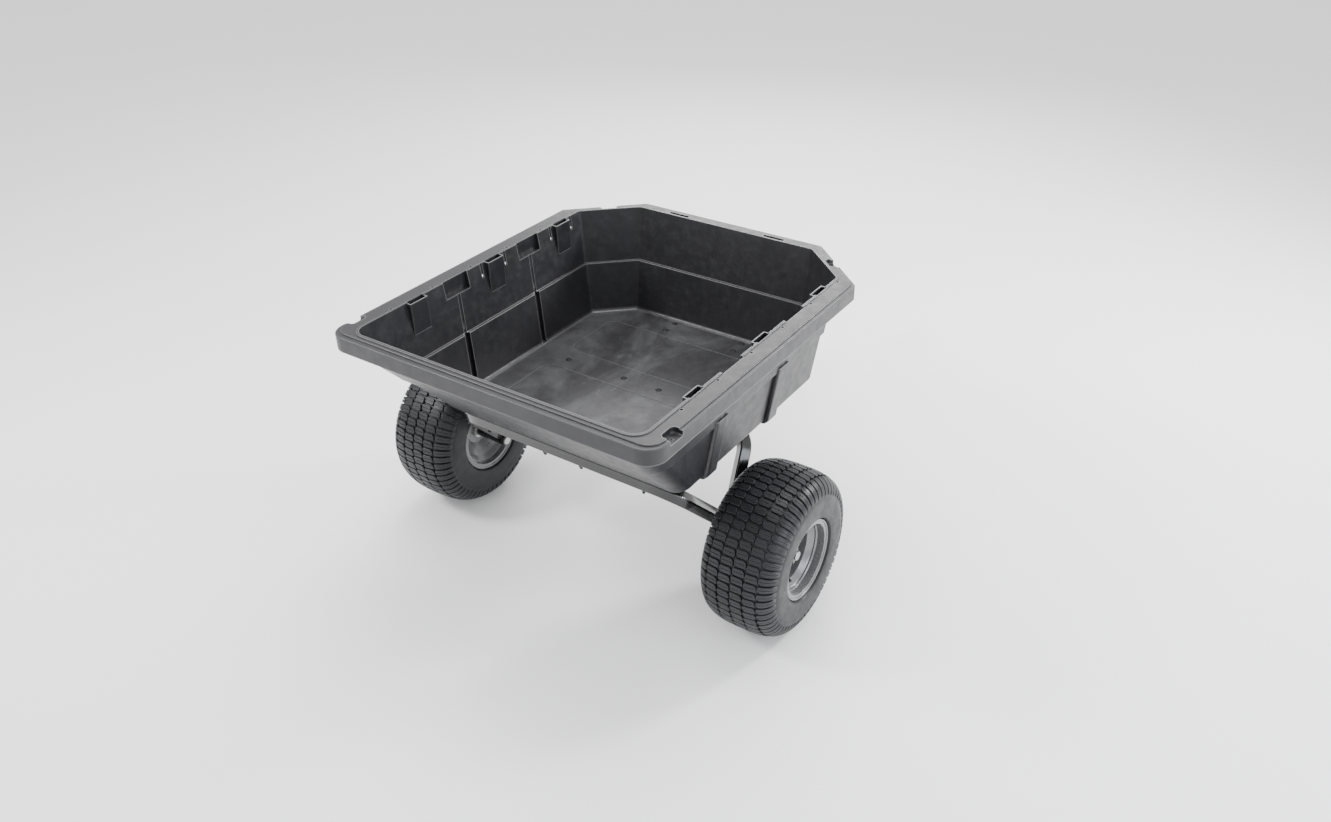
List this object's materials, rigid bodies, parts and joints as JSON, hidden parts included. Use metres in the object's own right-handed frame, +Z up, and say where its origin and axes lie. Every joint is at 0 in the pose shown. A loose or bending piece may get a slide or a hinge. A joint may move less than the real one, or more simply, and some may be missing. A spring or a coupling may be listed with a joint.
{
  "type": "tow behind dump cart",
  "caption": "Two-wheel tow behind cart with a moulded sloped-back tub on bent tube leg frames, which tilts about a pivot on the tongue to dump.",
  "frame": {"origin": "on the ground under the middle of the overall length, in the cart's middle plane", "axes": "+X towards the hitch (forwards), +Y to the left, +Z up"},
  "size_m": [1.833, 1.3072, 0.7845],
  "materials": {
    "tub_plastic": "satin moulded charcoal",
    "black_steel": "gloss black powder coat",
    "rim_steel": "silver paint",
    "zinc_steel": "bright zinc plate",
    "tyre_rubber": "matte",
    "rubber": "matte",
    "bush_plastic": "plain"
  },
  "bodies": {
    "tongue": {"tongue_tube": "black_steel", "tongue_pivot_sleeve": "black_steel", "tongue_rear_cap": "bush_plastic", "hitch_plate_upper": "black_steel", "hitch_plate_lower": "black_steel", "hitch_bolts": "zinc_steel", "hitch_nuts": "zinc_steel", "bed_rest_block": "black_steel", "bed_rest_pad": "rubber", "latch_lever_bracket": "black_steel", "latch_lever_pin": "zinc_steel"},
    "bed": {"tub": "tub_plastic", "rear_leg_frame": "black_steel", "front_leg_frame": "black_steel", "pivot_bolt": "zinc_steel", "pivot_nut": "zinc_steel", "floor_bolts": "black_steel", "floor_nuts": "black_steel", "latch_bracket": "black_steel", "latch_striker": "zinc_steel", "latch_bolts": "black_steel", "latch_nuts": "black_steel", "rear_frame_strips": "rubber", "front_frame_strips": "rubber", "latch_strips": "rubber", "left_leg_gusset": "black_steel", "right_leg_gusset": "black_steel", "left_axle_sleeve": "black_steel", "right_axle_sleeve": "black_steel", "left_stub_axle": "zinc_steel", "right_stub_axle": "zinc_steel", "left_axle_spacer": "black_steel", "right_axle_spacer": "black_steel", "left_axle_washers": "zinc_steel", "right_axle_washers": "zinc_steel", "left_cotter_pin": "zinc_steel", "right_cotter_pin": "zinc_steel", "left_pivot_rail": "black_steel", "right_pivot_rail": "black_steel"},
    "left_wheel": {"left_tyre": "tyre_rubber", "left_rim": "rim_steel", "left_wheel_disc": "rim_steel", "left_hub": "zinc_steel", "left_hub_bushes": "bush_plastic", "left_valve_stem": "rubber", "left_valve_cap": "bush_plastic"},
    "right_wheel": {"right_tyre": "tyre_rubber", "right_rim": "rim_steel", "right_wheel_disc": "rim_steel", "right_hub": "zinc_steel", "right_hub_bushes": "bush_plastic", "right_valve_stem": "rubber", "right_valve_cap": "bush_plastic"},
    "latch_lever": {"latch_lever": "zinc_steel", "pedal_pad": "rubber"}
  },
  "joints": [
    {"name": "bed_tilt", "type": "hinge", "parent": "tongue", "child": "bed", "pos_m": [-0.44345, 0, 0.388], "axis": [0, -1, 0], "range_deg": [0, 60]},
    {"name": "left_wheel_spin", "type": "hinge", "parent": "bed", "child": "left_wheel", "pos_m": [-0.44345, 0.5438, 0.2286], "axis": [0, 1, 0], "continuous": true},
    {"name": "right_wheel_spin", "type": "hinge", "parent": "bed", "child": "right_wheel", "pos_m": [-0.44345, -0.5438, 0.2286], "axis": [0, 1, 0], "continuous": true},
    {"name": "latch_lever_turn", "type": "hinge", "parent": "tongue", "child": "latch_lever", "pos_m": [0.18455, 0, 0.432], "axis": [0, -1, 0], "range_deg": [0, 30]}
  ]
}
